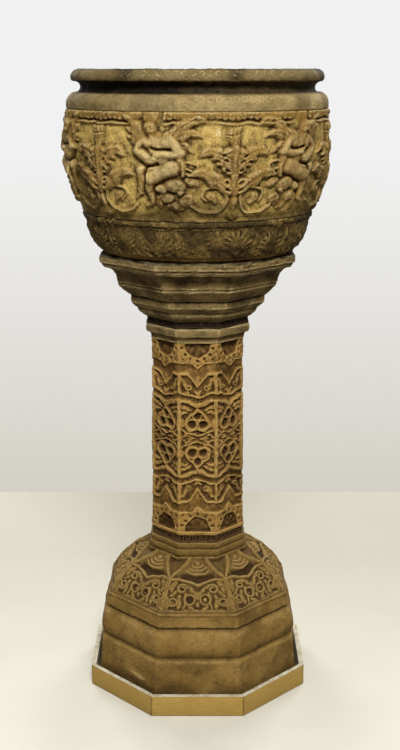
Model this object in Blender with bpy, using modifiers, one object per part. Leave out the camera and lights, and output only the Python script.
"""Pedestal planter: a terracotta bowl on an octagonal carved pedestal in a gilt tray.

Metres, +Z up, front towards -Y, the underside of the tray on Z = 0.
Sizes of octagonal pieces are apothems, from the axis to the middle of a flat side.
"""
import math

import bmesh
import bpy
from mathutils import Matrix, Vector

SIDES = 8
HALF_SIDE = math.tan(math.pi / SIDES)

# Fits between pieces
BEARING_GAP = 0.0003
MITRE_GAP = 0.0003
BRAD_GAP = 0.0003
SPIGOT_PLAY = 0.002

# Tray: a board inside mitred rails, held with brads
TRAY_APOTHEM = 0.1858
RAIL_HEIGHT = 0.0366
RAIL_THICKNESS = 0.008
RAIL_ARRIS = 0.0008
FLOOR_THICKNESS = 0.009
BRAD_DIAMETER = 0.0014
BRAD_HEAD_DIAMETER = 0.0022
BRAD_HEAD_HEIGHT = 0.0010
BRAD_LENGTH = 0.018
BRAD_SINK = 0.0006
BRAD_STEPS = 4
RAIL_PIN_SPACING = 0.080
MITRE_PIN_DROP = 0.010

# Base section of the pedestal
PLINTH_FOOT = 0.1725
PLINTH_TOP = 0.1662
PLINTH_HEIGHT = 0.0797
PLINTH_GROOVE = 0.1636
PLINTH_GROOVE_HEIGHT = 0.012
OVOLO_FOOT = 0.1656
OVOLO_HEIGHT = 0.0415
QUIRK = 0.1556
QUIRK_HEIGHT = 0.004
BAND_FOOT = 0.1585
BAND_TOP = 0.1548
BAND_HEIGHT = 0.0185
FILLET = 0.1540
FILLET_HEIGHT = 0.0050
FILLET_RECESS = 0.1515
FILLET_RECESS_HEIGHT = 0.0040
SHOULDER_FOOT = 0.1500
SHOULDER_BREAK = 0.1375
SHOULDER_BREAK_RISE = 0.0200
SHOULDER_KNEE = 0.1150
SHOULDER_RISE = 0.0435
SHOULDER_TOP = 0.0840
SHOULDER_SLOPE_RISE = 0.0245
LOWER_TORUS = 0.0830
LOWER_TORUS_HEIGHT = 0.0130
UPPER_TORUS = 0.0808
UPPER_TORUS_HEIGHT = 0.0115
TORUS_PROUD = 0.0030
BASE_WALL = 0.020
TRIANGLE_HALF = 0.0195
TRIANGLE_LENGTH = 0.037
TRIANGLE_INSET = 0.003
LUNETTE_SPAN = 0.056
LUNETTE_RISE = 0.015
LUNETTE_INSET = 0.003
LUNETTE_SPRING = 0.005
SHOULDER_RECESS = 0.0025

# Joints of the pedestal: spigots inside rings of dark mortar
SPIGOT = 0.049
SPIGOT_WALL = 0.011
SPIGOT_REACH = 0.020
LOWER_JOINT = 0.0136
LOWER_MORTAR = 0.0782
UPPER_JOINT = 0.0118
UPPER_MORTAR = 0.0843
MORTAR_HOLLOW = 0.0012

# Shaft
SHAFT_FOOT = 0.0780
SHAFT_TOP = 0.0760
SHAFT_HEIGHT = 0.327
SHAFT_LEDGE = 0.0798
SHAFT_LEDGE_HEIGHT = 0.0066
NECK_FILLET = 0.0775
NECK_FILLET_HEIGHT = 0.0050
NECK_COVE_HEIGHT = 0.0065
NECK_RING = 0.0862
NECK_RING_HEIGHT = 0.0150
NECK_RING_PROUD = 0.003
RIB_WIDTH = 0.0045
FAN_HALF = 0.0195
FAN_RISE = 0.0235
FAN_DROP = 0.001
END_BAND = 0.034
GROOVE_WIDTH = 0.009
END_POINT_HALF = 0.011
END_POINT_DIP = 0.012
SECOND_BAND = 0.042
SECOND_POINT_HALF = 0.024
SECOND_POINT_DIP = 0.008
PANEL_BORDER = 0.003
PANEL_POINT_DIP = 0.0125
SHAFT_RECESS = 0.003
CORNER_OVERLAP = 0.003

# Capital
CAPITAL_FASCIA = 0.1582
CAPITAL_FASCIA_HEIGHT = 0.0125
CAPITAL_EDGE_ROUND = 0.0032
CAPITAL_QUIRK = 0.1540
CAPITAL_QUIRK_HEIGHT = 0.0080
COVE_FOOT = 0.1308
COVE_HEIGHT = 0.0250
UPPER_STEP = 0.1292
UPPER_STEP_HEIGHT = 0.0045
UPPER_OVOLO_FOOT = 0.1112
UPPER_OVOLO_HEIGHT = 0.0185
MIDDLE_STEP = 0.1098
MIDDLE_STEP_HEIGHT = 0.0110
MIDDLE_OVOLO_FOOT = 0.0988
MIDDLE_OVOLO_HEIGHT = 0.0110
LOWER_STEP_HEIGHT = 0.0045
CAPITAL_FOOT = 0.0852
CAPITAL_FOOT_HEIGHT = 0.0112
CAPITAL_WALL = 0.018
CAPITAL_MOUTH = 0.124
CAPITAL_MOUTH_DEPTH = 0.014
CAPITAL_BULGE = 0.0012
FASCIA_CHAMFER = 0.0012
FASCIA_COVE_RISE = 0.003
QUIRK_SINK = 0.002
STEP_SET_BACK = 0.0008
LOWER_STEP_SET_BACK = 0.0012

# Bowl, radii
FOOT_RADIUS = 0.1600
FOOT_HEIGHT = 0.0085
FOOT_RING_WIDTH = 0.022
FOOT_RECESS = 0.004
LEAF_BAND_FOOT = 0.1642
LEAF_BAND_TOP = 0.1842
LEAF_BAND_HEIGHT = 0.0490
LEAF_BAND_SWELL = 0.0022
LEDGE_RADIUS = 0.1878
LEDGE_HEIGHT = 0.0095
FRIEZE_FOOT = 0.1838
FRIEZE_RADIUS = 0.2085
FRIEZE_CURVE_HEIGHT = 0.0960
FRIEZE_UPRIGHT_HEIGHT = 0.0670
SHOULDER_LIP = 0.2110
SHOULDER_LIP_HEIGHT = 0.0060
BOWL_SHOULDER_HEIGHT = 0.0205
NECK_TOP_OF_SHOULDER = 0.1950
NECK_GROOVE = 0.1902
NECK_GROOVE_HEIGHT = 0.0125
RIM_RADIUS = 0.2030
RIM_HEIGHT = 0.0205
RIM_LAND = 0.0150
BOWL_WALL = 0.0145
BOWL_FLOOR = 0.014
DRAIN_RADIUS = 0.0125
BOWL_STEPS = 40
RIM_CHAMFER = 0.003
RIM_NOSE_SHARE = 0.38
RIM_UNDERCUT = 0.005
NECK_DEEPEST_SHARE = 0.55
LIP_UNDERSIDE = 0.0008
LEDGE_ROUND = 0.001
FOOT_FLARE = 0.0012
FOOT_FLARE_DROP = 0.0015
INSIDE_ROUND = 0.012
INSIDE_SHOULDER_EXTRA = 0.006
INSIDE_NECK_EXTRA = 0.004
INSIDE_NECK_DROP = 0.002

# Relief of the frieze: six winged boys seated on rocks and six acanthus plants in turn.
# A form is a dome on the wall: across and up from the foot of its motif, half width,
# half height, how far it stands out, and its turn in degrees.
FIGURES = 6
FIGURE_TURN = math.radians(-14.75)
DOME_SEGMENTS = 6
DOME_RINGS = 3
DOME_SINK = 0.0008
BOY_FORMS = {
    "head": (-0.015, 0.138, 0.0115, 0.0130, 0.0120, 12),
    "chest": (0.000, 0.106, 0.0190, 0.0240, 0.0100, 15),
    "left_arm": (-0.026, 0.102, 0.0200, 0.0115, 0.0120, -32),
    "right_arm": (0.020, 0.113, 0.0110, 0.0210, 0.0120, 38),
    "thighs": (-0.006, 0.075, 0.0310, 0.0155, 0.0130, 27),
    "shins": (-0.022, 0.051, 0.0155, 0.0210, 0.0100, -8),
    "left_wing": (-0.043, 0.139, 0.0280, 0.0155, 0.0080, -42),
    "right_wing": (0.043, 0.136, 0.0340, 0.0160, 0.0085, 20),
    "rock": (0.020, 0.042, 0.0280, 0.0270, 0.0070, 0),
}
PLANT_FORMS = {
    "stem": (0, 0.078, 0.0200, 0.0360, 0.0085, 0),
    "cup": (0, 0.127, 0.0155, 0.0170, 0.0085, 0),
}
PLANT_PAIRS = {
    "top_leaf": (0.029, 0.102, 0.0290, 0.0105, 0.0088, 0),
    "low_leaf": (0.038, 0.069, 0.0340, 0.0120, 0.0084, 18),
}
VOLUTE = (0.029, 0.035, 0.0205, 0.0195, 0.0220, 0)
VOLUTE_SEGMENTS = 6
VOLUTE_SIDES = 4
VOLUTE_ROLL = 0.25

# Levels, from the ground up
BASE_Z = FLOOR_THICKNESS + BEARING_GAP
PLINTH_Z = BASE_Z + PLINTH_HEIGHT
OVOLO_Z = PLINTH_Z + PLINTH_GROOVE_HEIGHT
QUIRK_Z = OVOLO_Z + OVOLO_HEIGHT
BAND_Z = QUIRK_Z + QUIRK_HEIGHT
FILLET_Z = BAND_Z + BAND_HEIGHT
FILLET_RECESS_Z = FILLET_Z + FILLET_HEIGHT
SHOULDER_Z = FILLET_RECESS_Z + FILLET_RECESS_HEIGHT
KNEE_Z = SHOULDER_Z + SHOULDER_RISE
SLOPE_Z = KNEE_Z + SHOULDER_SLOPE_RISE
UPPER_TORUS_Z = SLOPE_Z + LOWER_TORUS_HEIGHT
LOWER_SEAT_Z = UPPER_TORUS_Z + UPPER_TORUS_HEIGHT
SHAFT_Z = LOWER_SEAT_Z + LOWER_JOINT
FACE_Z = SHAFT_Z + SHAFT_LEDGE_HEIGHT
FACE_TOP_Z = FACE_Z + SHAFT_HEIGHT
NECK_COVE_Z = FACE_TOP_Z + NECK_FILLET_HEIGHT
NECK_RING_Z = NECK_COVE_Z + NECK_COVE_HEIGHT
UPPER_SEAT_Z = NECK_RING_Z + NECK_RING_HEIGHT
CAPITAL_Z = UPPER_SEAT_Z + UPPER_JOINT
LOWER_STEP_Z = CAPITAL_Z + CAPITAL_FOOT_HEIGHT
MIDDLE_OVOLO_Z = LOWER_STEP_Z + LOWER_STEP_HEIGHT
MIDDLE_STEP_Z = MIDDLE_OVOLO_Z + MIDDLE_OVOLO_HEIGHT
UPPER_OVOLO_Z = MIDDLE_STEP_Z + MIDDLE_STEP_HEIGHT
UPPER_STEP_Z = UPPER_OVOLO_Z + UPPER_OVOLO_HEIGHT
COVE_Z = UPPER_STEP_Z + UPPER_STEP_HEIGHT
CAPITAL_QUIRK_Z = COVE_Z + COVE_HEIGHT
FASCIA_Z = CAPITAL_QUIRK_Z + CAPITAL_QUIRK_HEIGHT
CAPITAL_TOP_Z = FASCIA_Z + CAPITAL_FASCIA_HEIGHT
BOWL_Z = CAPITAL_TOP_Z + BEARING_GAP
LEAF_BAND_Z = BOWL_Z + FOOT_HEIGHT
LEDGE_Z = LEAF_BAND_Z + LEAF_BAND_HEIGHT
FRIEZE_Z = LEDGE_Z + LEDGE_HEIGHT
UPRIGHT_Z = FRIEZE_Z + FRIEZE_CURVE_HEIGHT
LIP_Z = UPRIGHT_Z + FRIEZE_UPRIGHT_HEIGHT
BOWL_SHOULDER_Z = LIP_Z + SHOULDER_LIP_HEIGHT
NECK_Z = BOWL_SHOULDER_Z + BOWL_SHOULDER_HEIGHT
RIM_Z = NECK_Z + NECK_GROOVE_HEIGHT
RIM_TOP_Z = RIM_Z + RIM_HEIGHT

# Curve of the frieze's wall below its upright part
FRIEZE_TURN = math.radians(65)
FRIEZE_WIDE = (FRIEZE_RADIUS - FRIEZE_FOOT) / (1 - math.cos(FRIEZE_TURN))
FRIEZE_TALL = FRIEZE_CURVE_HEIGHT / math.sin(FRIEZE_TURN)


def clear_scene():
    for item in list(bpy.data.objects):
        bpy.data.objects.remove(item, do_unlink=True)


def collection(name):
    made = bpy.data.collections.new(name)
    bpy.context.scene.collection.children.link(made)
    return made


def material(name, colour, roughness, metallic=0.0):
    made = bpy.data.materials.new(name)
    made.use_nodes = True
    shader = made.node_tree.nodes["Principled BSDF"]
    shader.inputs["Base Color"].default_value = (*colour, 1.0)
    shader.inputs["Roughness"].default_value = roughness
    shader.inputs["Metallic"].default_value = metallic
    made.diffuse_color = (*colour, 1.0)
    return made


def add_object(name, mesh, where, surface=None):
    made = bpy.data.objects.new(name, mesh)
    where.objects.link(made)
    if surface is not None:
        mesh.materials.append(surface)
    return made


def arc(start, end, level_first, steps=5):
    """Quarter ellipse from start to end, leaving start level or upright."""
    points = []
    for i in range(1, steps + 1):
        turn = i / steps * math.pi / 2
        fast = math.sin(turn)
        slow = 1 - math.cos(turn)
        across = fast if level_first else slow
        along = slow if level_first else fast
        points.append((start[0] + (end[0] - start[0]) * across,
                       start[1] + (end[1] - start[1]) * along))
    return points


def bead(start, end, proud, steps=6):
    """Half round from start to end that stands proud of the line between them."""
    points = []
    for i in range(1, steps + 1):
        turn = i / steps * math.pi
        share = (1 - math.cos(turn)) / 2
        points.append((start[0] + (end[0] - start[0]) * share + proud * math.sin(turn),
                       start[1] + (end[1] - start[1]) * share))
    return points


def turned(name, profile, steps, where, surface):
    """Closed profile of (radius, height), outer side downwards, swept round the Z axis."""
    octagonal = steps == SIDES
    start = -math.pi / SIDES if octagonal else 0.0
    grow = 1 / math.cos(math.pi / SIDES) if octagonal else 1.0
    points = []
    for radius, height in profile:
        points.append((radius * grow * math.cos(start), radius * grow * math.sin(start), height))
    count = len(points)
    edges = [(i, (i + 1) % count) for i in range(count)]
    mesh = bpy.data.meshes.new(name)
    mesh.from_pydata(points, edges, [])
    made = add_object(name, mesh, where, surface)
    sweep = made.modifiers.new("sweep", "SCREW")
    sweep.axis = "Z"
    sweep.angle = 2 * math.pi
    sweep.steps = steps
    sweep.render_steps = steps
    sweep.use_merge_vertices = True
    sweep.merge_threshold = 0.00005
    sweep.use_smooth_shade = not octagonal
    return made


def outline_mesh(name, outline, thickness):
    """Flat outline in X and Y, thickened evenly about Z = 0."""
    curve = bpy.data.curves.new(name, "CURVE")
    curve.dimensions = "2D"
    curve.fill_mode = "BOTH"
    curve.extrude = thickness / 2
    spline = curve.splines.new("POLY")
    spline.points.add(len(outline) - 1)
    for point, (x, y) in zip(spline.points, outline):
        point.co = (x, y, 0, 1)
    spline.use_cyclic_u = True
    holder = bpy.data.objects.new(name, curve)
    bpy.context.scene.collection.objects.link(holder)
    graph = bpy.context.evaluated_depsgraph_get()
    mesh = bpy.data.meshes.new_from_object(holder.evaluated_get(graph))
    mesh.name = name
    bpy.data.objects.remove(holder, do_unlink=True)
    bpy.data.curves.remove(curve)
    edit = bmesh.new()
    edit.from_mesh(mesh)
    bmesh.ops.remove_doubles(edit, verts=edit.verts[:], dist=0.000001)
    bmesh.ops.recalc_face_normals(edit, faces=edit.faces[:])
    edit.to_mesh(mesh)
    edit.free()
    return mesh


def add_cutter(name, mesh, place, cutters):
    made = add_object(name, mesh, cutters)
    made.matrix_world = place
    made.display_type = "WIRE"
    made.hide_render = True
    return made


def combine(item, tools, operation):
    """Take a whole collection of tools out of an object, or fuse it to the object."""
    step = item.modifiers.new(tools.name, "BOOLEAN")
    step.operation = operation
    step.solver = "EXACT"
    step.operand_type = "COLLECTION"
    step.collection = tools


def turn(side):
    """Turn of the flat side with this number, counted from the front."""
    return Matrix.Rotation(side * 2 * math.pi / SIDES, 4, "Z")


def frieze_wall(at):
    """Radius and height of the frieze's wall, upright at a turn of 0 and drawn in below it."""
    return (FRIEZE_RADIUS - FRIEZE_WIDE * (1 - math.cos(at)), UPRIGHT_Z - FRIEZE_TALL * math.sin(at))


def on_frieze(round_turn, up):
    """Place on the frieze with X along the wall, Y up it and Z out of it."""
    at = math.asin(max(0.0, UPRIGHT_Z - FRIEZE_Z - up) / FRIEZE_TALL)
    radius, height = frieze_wall(at)
    lean = math.atan2(FRIEZE_WIDE * math.sin(at), FRIEZE_TALL * math.cos(at))
    place = Matrix.Translation((0, -radius, max(height, FRIEZE_Z + up)))
    return Matrix.Rotation(round_turn, 4, "Z") @ place @ Matrix.Rotation(math.pi / 2 + lean, 4, "X")


def dome_mesh():
    edit = bmesh.new()
    bmesh.ops.create_uvsphere(edit, u_segments=DOME_SEGMENTS, v_segments=DOME_RINGS, radius=1)
    mesh = bpy.data.meshes.new("dome")
    edit.to_mesh(mesh)
    edit.free()
    return mesh


def volute_mesh():
    bpy.ops.mesh.primitive_torus_add(major_segments=VOLUTE_SEGMENTS, minor_segments=VOLUTE_SIDES,
                                     major_radius=1 - VOLUTE_ROLL / 2, minor_radius=VOLUTE_ROLL)
    made = bpy.context.active_object
    mesh = made.data
    bpy.data.objects.remove(made, do_unlink=True)
    return mesh


def frieze_relief():
    """Boys and plants in turn, every second boy mirrored, as overlapping domes on the wall."""
    tools = collection("frieze_forms")
    dome = dome_mesh()
    ring = volute_mesh()

    def add_form(name, mesh, form, motif_turn, hand):
        across, up, half_width, half_height, proud, lean = form
        place = on_frieze(motif_turn + hand * across / FRIEZE_RADIUS, up)
        place = place @ Matrix.Translation((0, 0, -DOME_SINK))
        place = place @ Matrix.Rotation(hand * math.radians(lean), 4, "Z")
        place = place @ Matrix.Diagonal((half_width, half_height, proud, 1))
        add_cutter(name, mesh, place, tools)

    for i in range(FIGURES):
        boy_turn = FIGURE_TURN + i * 2 * math.pi / FIGURES
        plant_turn = boy_turn + math.pi / FIGURES
        for stem, form in BOY_FORMS.items():
            add_form(f"boy_{i + 1}_{stem}", dome, form, boy_turn, 1 if i % 2 == 0 else -1)
        for stem, form in PLANT_FORMS.items():
            add_form(f"plant_{i + 1}_{stem}", dome, form, plant_turn, 1)
        for hand in (-1, 1):
            for stem, form in PLANT_PAIRS.items():
                add_form(f"plant_{i + 1}_{stem}", dome, form, plant_turn, hand)
            add_form(f"plant_{i + 1}_volute", ring, VOLUTE, plant_turn, hand)
    return tools


def build_bowl(parts, surface):
    foot_inner = FOOT_RADIUS - FOOT_RING_WIDTH
    underside = BOWL_Z + FOOT_RECESS
    floor = underside + BOWL_FLOOR
    curve = [frieze_wall(FRIEZE_TURN * i / 6) for i in range(0, 7)]
    leaf = []
    for i in range(0, 4):
        share = i / 3
        swell = LEAF_BAND_SWELL * math.sin(math.pi * share)
        leaf.append((LEAF_BAND_TOP + (LEAF_BAND_FOOT - LEAF_BAND_TOP) * share + swell,
                     LEDGE_Z - LEAF_BAND_HEIGHT * share))
    mouth = NECK_GROOVE - BOWL_WALL
    nose_z = RIM_Z + RIM_HEIGHT * RIM_NOSE_SHARE
    profile = [(mouth + RIM_CHAMFER, RIM_TOP_Z), (mouth + RIM_LAND, RIM_TOP_Z)]
    profile += arc(profile[-1], (RIM_RADIUS, nose_z), True, 4)
    profile += arc(profile[-1], (RIM_RADIUS - RIM_UNDERCUT, RIM_Z), False, 2)
    deepest_z = RIM_Z - NECK_GROOVE_HEIGHT * NECK_DEEPEST_SHARE
    profile += arc(profile[-1], (NECK_GROOVE, deepest_z), True, 2)
    profile += arc(profile[-1], (NECK_TOP_OF_SHOULDER, NECK_Z), False, 2)
    profile += arc(profile[-1], (SHOULDER_LIP, BOWL_SHOULDER_Z), True, 4)
    profile += [(SHOULDER_LIP, LIP_Z), (FRIEZE_RADIUS, LIP_Z - LIP_UNDERSIDE)]
    profile += curve
    ledge = LEDGE_RADIUS - LEDGE_ROUND
    profile += [(ledge, FRIEZE_Z - LEDGE_ROUND)]
    profile += bead(profile[-1], (ledge, LEDGE_Z + LEDGE_ROUND), LEDGE_ROUND, 2)
    profile += leaf
    profile += [(FOOT_RADIUS + FOOT_FLARE, LEAF_BAND_Z - FOOT_FLARE_DROP), (FOOT_RADIUS, BOWL_Z)]
    profile += [(foot_inner, BOWL_Z), (foot_inner - FOOT_RECESS, underside)]
    profile += [(DRAIN_RADIUS, underside), (DRAIN_RADIUS, floor)]
    inside = LEAF_BAND_FOOT + LEAF_BAND_SWELL - BOWL_WALL
    profile += [(inside - INSIDE_ROUND, floor)]
    profile += arc(profile[-1], (inside, floor + INSIDE_ROUND), True, 2)
    profile += [(LEAF_BAND_TOP - BOWL_WALL, FRIEZE_Z - LEDGE_ROUND)]
    for radius, height in curve[4:0:-2]:
        profile += [(radius - BOWL_WALL, height)]
    profile += [(FRIEZE_RADIUS - BOWL_WALL, UPRIGHT_Z), (FRIEZE_RADIUS - BOWL_WALL, LIP_Z)]
    profile += [(SHOULDER_LIP - BOWL_WALL - INSIDE_SHOULDER_EXTRA, BOWL_SHOULDER_Z)]
    profile += [(mouth + INSIDE_NECK_EXTRA, NECK_Z - INSIDE_NECK_DROP), (mouth, deepest_z)]
    profile += [(mouth, RIM_TOP_Z - RIM_CHAMFER)]
    made = turned("bowl", profile, BOWL_STEPS, parts, surface)
    combine(made, frieze_relief(), "UNION")
    return made


def build_capital(parts, surface):
    socket = SPIGOT + SPIGOT_PLAY
    top = CAPITAL_TOP_Z
    profile = [(CAPITAL_MOUTH, top), (CAPITAL_FASCIA - CAPITAL_EDGE_ROUND, top)]
    profile += arc(profile[-1], (CAPITAL_FASCIA, top - CAPITAL_EDGE_ROUND), True, 3)
    profile += [(CAPITAL_FASCIA, FASCIA_Z + FASCIA_CHAMFER)]
    profile += [(CAPITAL_FASCIA - FASCIA_CHAMFER, FASCIA_Z)]
    profile += arc(profile[-1], (CAPITAL_QUIRK, CAPITAL_QUIRK_Z + FASCIA_COVE_RISE), True, 3)
    profile += [(CAPITAL_QUIRK - QUIRK_SINK, CAPITAL_QUIRK_Z + QUIRK_SINK)]
    profile += [(CAPITAL_QUIRK - QUIRK_SINK, CAPITAL_QUIRK_Z)]
    profile += arc(profile[-1], (COVE_FOOT, COVE_Z), True, 6)
    profile += [(UPPER_STEP, COVE_Z - STEP_SET_BACK), (UPPER_STEP, UPPER_STEP_Z)]
    profile += bead(profile[-1], (UPPER_OVOLO_FOOT, UPPER_OVOLO_Z), CAPITAL_BULGE)
    profile += [(MIDDLE_STEP, UPPER_OVOLO_Z - STEP_SET_BACK), (MIDDLE_STEP, MIDDLE_STEP_Z)]
    profile += bead(profile[-1], (MIDDLE_OVOLO_FOOT, MIDDLE_OVOLO_Z), CAPITAL_BULGE, 4)
    profile += [(MIDDLE_OVOLO_FOOT - LOWER_STEP_SET_BACK, LOWER_STEP_Z)]
    profile += bead(profile[-1], (CAPITAL_FOOT, CAPITAL_Z), CAPITAL_BULGE, 4)
    profile += [(socket, CAPITAL_Z), (socket, MIDDLE_STEP_Z)]
    profile += [(UPPER_OVOLO_FOOT - CAPITAL_WALL, UPPER_STEP_Z)]
    profile += [(COVE_FOOT - CAPITAL_WALL, CAPITAL_QUIRK_Z - CAPITAL_WALL * 0.5)]
    profile += [(CAPITAL_MOUTH, top - CAPITAL_MOUTH_DEPTH)]
    return turned("capital", profile, SIDES, parts, surface)


def shaft_carving():
    """Sunk carving of the eight faces, the same seen from the top and from the foot."""
    cutters = collection("shaft_cutters")
    corner = SHAFT_TOP * HALF_SIDE
    middle = (FACE_Z + FACE_TOP_Z) / 2
    fan = []
    for i in range(9):
        at = math.pi * i / 8
        fan.append((FAN_HALF * math.cos(at), FACE_TOP_Z - FAN_DROP - FAN_RISE * math.sin(at)))

    def pointed(level, half, dip):
        """Lower edge of a band: level at the sides, pointed in the middle."""
        reach = corner + CORNER_OVERLAP
        return [(-reach, level), (-half, level), (0, level - dip), (half, level), (reach, level)]

    def groove(level, half, dip):
        upper = pointed(level, half, dip)
        lower = pointed(level - GROOVE_WIDTH, half, dip)
        return upper + lower[::-1]

    first = groove(FACE_TOP_Z - END_BAND, END_POINT_HALF, END_POINT_DIP)
    second_level = FACE_TOP_Z - END_BAND - GROOVE_WIDTH - SECOND_BAND
    second = groove(second_level, SECOND_POINT_HALF, SECOND_POINT_DIP)
    edge = second_level - GROOVE_WIDTH - PANEL_BORDER
    inner = corner - RIB_WIDTH
    panel = [(-inner, edge), (0, edge - PANEL_POINT_DIP), (inner, edge)]
    panel += [(inner, 2 * middle - edge), (0, 2 * middle - edge + PANEL_POINT_DIP)]
    panel += [(-inner, 2 * middle - edge)]
    outlines = {"panel": panel}
    for stem, outline in (("fan", fan), ("first", first), ("second", second)):
        outlines["upper_" + stem] = outline
        outlines["lower_" + stem] = [(x, 2 * middle - z) for x, z in reversed(outline)]
    upright = Matrix.Rotation(math.pi / 2, 4, "X")
    for stem, outline in outlines.items():
        mesh = outline_mesh("cut_" + stem, outline, SHAFT_RECESS * 4)
        for side in range(SIDES):
            at = Matrix.Translation((0, -SHAFT_TOP - SHAFT_RECESS, 0))
            add_cutter(f"cut_{stem}_{side + 1}", mesh, turn(side) @ at @ upright, cutters)
    return cutters


def build_shaft(parts, surface):
    socket = SPIGOT + SPIGOT_PLAY
    bore = SPIGOT - SPIGOT_WALL
    tip = CAPITAL_Z + SPIGOT_REACH
    profile = [(bore, tip), (SPIGOT, tip), (SPIGOT, UPPER_SEAT_Z)]
    ring = NECK_RING - NECK_RING_PROUD
    profile += [(ring, UPPER_SEAT_Z)]
    profile += bead(profile[-1], (ring, NECK_RING_Z), NECK_RING_PROUD)
    profile += arc(profile[-1], (NECK_FILLET, NECK_COVE_Z), True, 3)
    profile += [(NECK_FILLET, FACE_TOP_Z), (SHAFT_TOP, FACE_TOP_Z), (SHAFT_FOOT, FACE_Z)]
    profile += [(SHAFT_LEDGE, FACE_Z), (SHAFT_LEDGE, SHAFT_Z)]
    profile += [(socket, SHAFT_Z), (socket, FACE_TOP_Z - SPIGOT_WALL), (bore, FACE_TOP_Z)]
    made = turned("shaft", profile, SIDES, parts, surface)
    combine(made, shaft_carving(), "DIFFERENCE")
    return made


def shoulder_carving():
    """Sunk lunettes on the eight sloping faces and flat triangles across their corners."""
    cutters = collection("shoulder_cutters")
    run = SHOULDER_KNEE - SHOULDER_TOP
    length = math.hypot(run, SHOULDER_SLOPE_RISE)
    lean = math.atan2(SHOULDER_SLOPE_RISE, run)
    lunette = [(-LUNETTE_SPAN / 2, -length + LUNETTE_INSET)]
    for i in range(9):
        at = math.pi * (1 - i / 8)
        lunette.append((LUNETTE_SPAN / 2 * math.cos(at),
                        -length + LUNETTE_SPRING + LUNETTE_RISE * math.sin(at)))
    lunette.append((LUNETTE_SPAN / 2, -length + LUNETTE_INSET))
    mesh = outline_mesh("cut_lunette", lunette, SHOULDER_RECESS * 4)
    sloping = Matrix.Rotation(lean, 4, "X")
    for side in range(SIDES):
        place = turn(side) @ Matrix.Translation((0, -SHOULDER_TOP, SLOPE_Z)) @ sloping
        place = place @ Matrix.Translation((0, 0, SHOULDER_RECESS))
        add_cutter(f"cut_lunette_{side + 1}", mesh, place, cutters)
    grow = 1 / math.cos(math.pi / SIDES)
    ridge_lean = math.atan2(SHOULDER_SLOPE_RISE, run * grow)
    drop = TRIANGLE_HALF * HALF_SIDE * math.sin(ridge_lean)
    tilt = math.atan2(drop, TRIANGLE_LENGTH)
    triangle = [(0, 0), (TRIANGLE_HALF, TRIANGLE_LENGTH), (-TRIANGLE_HALF, TRIANGLE_LENGTH)]
    thick = SHOULDER_RECESS * 2 + drop * 2
    mesh = outline_mesh("cut_triangle", triangle, thick)
    for side in range(SIDES):
        place = turn(side + 0.5) @ Matrix.Translation((0, -SHOULDER_TOP * grow, SLOPE_Z))
        place = place @ Matrix.Rotation(ridge_lean, 4, "X")
        place = place @ Matrix.Translation((0, -TRIANGLE_INSET - TRIANGLE_LENGTH, 0))
        place = place @ Matrix.Rotation(-tilt, 4, "X")
        place = place @ Matrix.Translation((0, 0, thick / 2 - SHOULDER_RECESS))
        add_cutter(f"cut_triangle_{side + 1}", mesh, place, cutters)
    return cutters


def build_base(parts, surface):
    bore = SPIGOT - SPIGOT_WALL
    tip = SHAFT_Z + SPIGOT_REACH
    seat = LOWER_SEAT_Z
    profile = [(bore, tip), (SPIGOT, tip), (SPIGOT, seat), (UPPER_TORUS - TORUS_PROUD, seat)]
    profile += bead(profile[-1], (UPPER_TORUS - TORUS_PROUD, UPPER_TORUS_Z), TORUS_PROUD)
    profile += [(LOWER_TORUS - TORUS_PROUD, UPPER_TORUS_Z)]
    profile += bead(profile[-1], (LOWER_TORUS - TORUS_PROUD, SLOPE_Z), TORUS_PROUD)
    profile += [(SHOULDER_TOP, SLOPE_Z), (SHOULDER_KNEE, KNEE_Z)]
    profile += [(SHOULDER_BREAK, SHOULDER_Z + SHOULDER_BREAK_RISE), (SHOULDER_FOOT, SHOULDER_Z)]
    profile += [(FILLET_RECESS, FILLET_RECESS_Z), (FILLET, FILLET_RECESS_Z), (FILLET, FILLET_Z)]
    profile += [(BAND_TOP, FILLET_Z), (BAND_FOOT, BAND_Z), (QUIRK, BAND_Z), (QUIRK, QUIRK_Z)]
    profile += arc(profile[-1], (OVOLO_FOOT, OVOLO_Z), True, 5)
    profile += arc(profile[-1], (PLINTH_GROOVE, OVOLO_Z - PLINTH_GROOVE_HEIGHT / 2), True, 3)
    profile += arc(profile[-1], (PLINTH_TOP, PLINTH_Z), False, 3)
    profile += [(PLINTH_FOOT, BASE_Z), (PLINTH_FOOT - BASE_WALL, BASE_Z)]
    profile += [(QUIRK - BASE_WALL, QUIRK_Z), (SHOULDER_FOOT - BASE_WALL, SHOULDER_Z)]
    profile += [(SHOULDER_KNEE - BASE_WALL * 0.6, KNEE_Z - BASE_WALL * 0.8)]
    profile += [(SHOULDER_TOP - BASE_WALL * 0.5, SLOPE_Z - BASE_WALL * 0.9)]
    profile += [(bore, SLOPE_Z - BASE_WALL * 0.2)]
    made = turned("base", profile, SIDES, parts, surface)
    combine(made, shoulder_carving(), "DIFFERENCE")
    return made


def build_mortar(name, outside, low, high, parts, surface):
    socket = SPIGOT + SPIGOT_PLAY
    top = high - BEARING_GAP
    foot = low + BEARING_GAP
    waist = outside - MORTAR_HOLLOW
    profile = [(socket, top), (outside, top), (waist, (top + foot) / 2)]
    profile += [(outside, foot), (socket, foot)]
    return turned(name, profile, SIDES, parts, surface)


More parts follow.
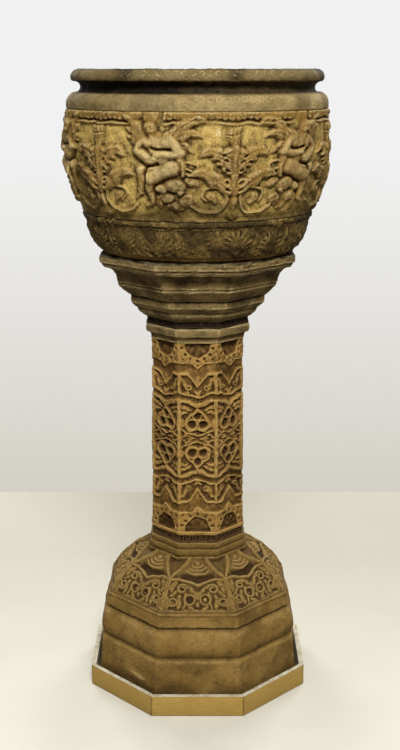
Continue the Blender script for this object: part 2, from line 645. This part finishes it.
def brad_mesh(name, gap, beyond):
    """Half outline of a brad from its head on Z = 0 to its point, or of the hole it sits in."""
    head = BRAD_HEAD_DIAMETER / 2 + gap
    shank = BRAD_DIAMETER / 2 + gap
    neck = -BRAD_HEAD_HEIGHT - gap
    points = [(0, 0, beyond), (head, 0, beyond), (head, 0, neck), (shank, 0, neck)]
    points += [(shank, 0, BRAD_DIAMETER - BRAD_LENGTH), (0, 0, -BRAD_LENGTH - gap)]
    mesh = bpy.data.meshes.new(name)
    mesh.from_pydata(points, [(i, i + 1) for i in range(len(points) - 1)], [])
    return mesh


def sweep_brad(item):
    sweep = item.modifiers.new("sweep", "SCREW")
    sweep.axis = "Z"
    sweep.angle = 2 * math.pi
    sweep.steps = BRAD_STEPS
    sweep.render_steps = BRAD_STEPS
    sweep.use_merge_vertices = True
    sweep.merge_threshold = 0.00001
    sweep.use_smooth_shade = False


def rail_pin_places():
    """Two brads through each rail into the edge of the board, heads outwards."""
    outward = Matrix.Rotation(math.pi / 2, 4, "X")
    places = []
    for side in range(SIDES):
        for share in (-0.5, 0.5):
            at = (share * RAIL_PIN_SPACING, -TRAY_APOTHEM + BRAD_SINK, FLOOR_THICKNESS / 2)
            places.append(turn(side) @ Matrix.Translation(at) @ outward)
    return places


def mitre_pin_places():
    """One brad through the end of each rail along the length of the next one."""
    inward = RAIL_THICKNESS / 2
    half = TRAY_APOTHEM * HALF_SIDE
    beyond = inward * HALF_SIDE
    lengthways = Matrix.Rotation(-math.pi / 2, 4, "Y")
    places = []
    for side in range(SIDES):
        reach = half + beyond - BRAD_SINK - inward * 2 * HALF_SIDE
        at = (-reach, -TRAY_APOTHEM + inward, RAIL_HEIGHT - MITRE_PIN_DROP)
        places.append(turn(side) @ Matrix.Translation(at) @ lengthways)
    return places


def build_tray(parts, gilt, board, steel):
    inner = TRAY_APOTHEM - RAIL_THICKNESS
    brad = brad_mesh("brad", 0.0, 0.0)
    brad.materials.append(steel)
    hole = brad_mesh("brad_hole", BRAD_GAP, RAIL_THICKNESS)
    holes = {"mitre_pin": collection("mitre_pin_cutters"), "rail_pin": collection("rail_pin_cutters")}
    for stem, places in (("mitre_pin", mitre_pin_places()), ("rail_pin", rail_pin_places())):
        for i, place in enumerate(places):
            pin = add_object(f"{stem}_{i + 1}", brad, parts)
            pin.matrix_world = place
            sweep_brad(pin)
            sweep_brad(add_cutter(f"cut_{stem}_{i + 1}", hole, place, holes[stem]))
    edge = (inner - BEARING_GAP) / math.cos(math.pi / SIDES)
    mesh = bmesh.new()
    flat_to_front = Matrix.Rotation(math.pi / SIDES, 4, "Z")
    centre = Matrix.Translation((0, 0, FLOOR_THICKNESS / 2))
    bmesh.ops.create_cone(mesh, cap_ends=True, segments=SIDES, radius1=edge, radius2=edge,
                          depth=FLOOR_THICKNESS, matrix=centre @ flat_to_front)
    data = bpy.data.meshes.new("tray_floor")
    mesh.to_mesh(data)
    mesh.free()
    combine(add_object("tray_floor", data, parts, board), holes["rail_pin"], "DIFFERENCE")
    outer_half = TRAY_APOTHEM * HALF_SIDE - MITRE_GAP / 2
    inner_half = inner * HALF_SIDE - MITRE_GAP / 2
    plan = [(-outer_half, -TRAY_APOTHEM), (outer_half, -TRAY_APOTHEM)]
    plan += [(inner_half, -inner), (-inner_half, -inner)]
    data = outline_mesh("tray_rail", plan, RAIL_HEIGHT)
    data.materials.append(gilt)
    for side in range(SIDES):
        rail = add_object(f"tray_rail_{side + 1}", data, parts)
        rail.matrix_world = turn(side) @ Matrix.Translation((0, 0, RAIL_HEIGHT / 2))
        round_off = rail.modifiers.new("arris", "BEVEL")
        round_off.width = RAIL_ARRIS
        round_off.segments = 1
        round_off.limit_method = "ANGLE"
        round_off.angle_limit = math.radians(80)
        combine(rail, holes["rail_pin"], "DIFFERENCE")
        combine(rail, holes["mitre_pin"], "DIFFERENCE")


clear_scene()
planter = collection("pedestal_planter")
terracotta_pale = material("ochre_terracotta", (0.42, 0.29, 0.13), 0.75)
terracotta = material("brown_terracotta", (0.34, 0.22, 0.10), 0.75)
mortar = material("dark_mortar", (0.06, 0.045, 0.03), 0.9)
gilt = material("gilt_wood", (0.46, 0.33, 0.10), 0.45)
plywood = material("plywood", (0.55, 0.42, 0.26), 0.7)
steel = material("steel_brad", (0.35, 0.34, 0.32), 0.4, 1.0)

build_bowl(planter, terracotta_pale)
build_capital(planter, terracotta)
build_mortar("upper_mortar", UPPER_MORTAR, UPPER_SEAT_Z, CAPITAL_Z, planter, mortar)
build_shaft(planter, terracotta)
build_mortar("lower_mortar", LOWER_MORTAR, LOWER_SEAT_Z, SHAFT_Z, planter, mortar)
build_base(planter, terracotta)
build_tray(planter, gilt, plywood, steel)
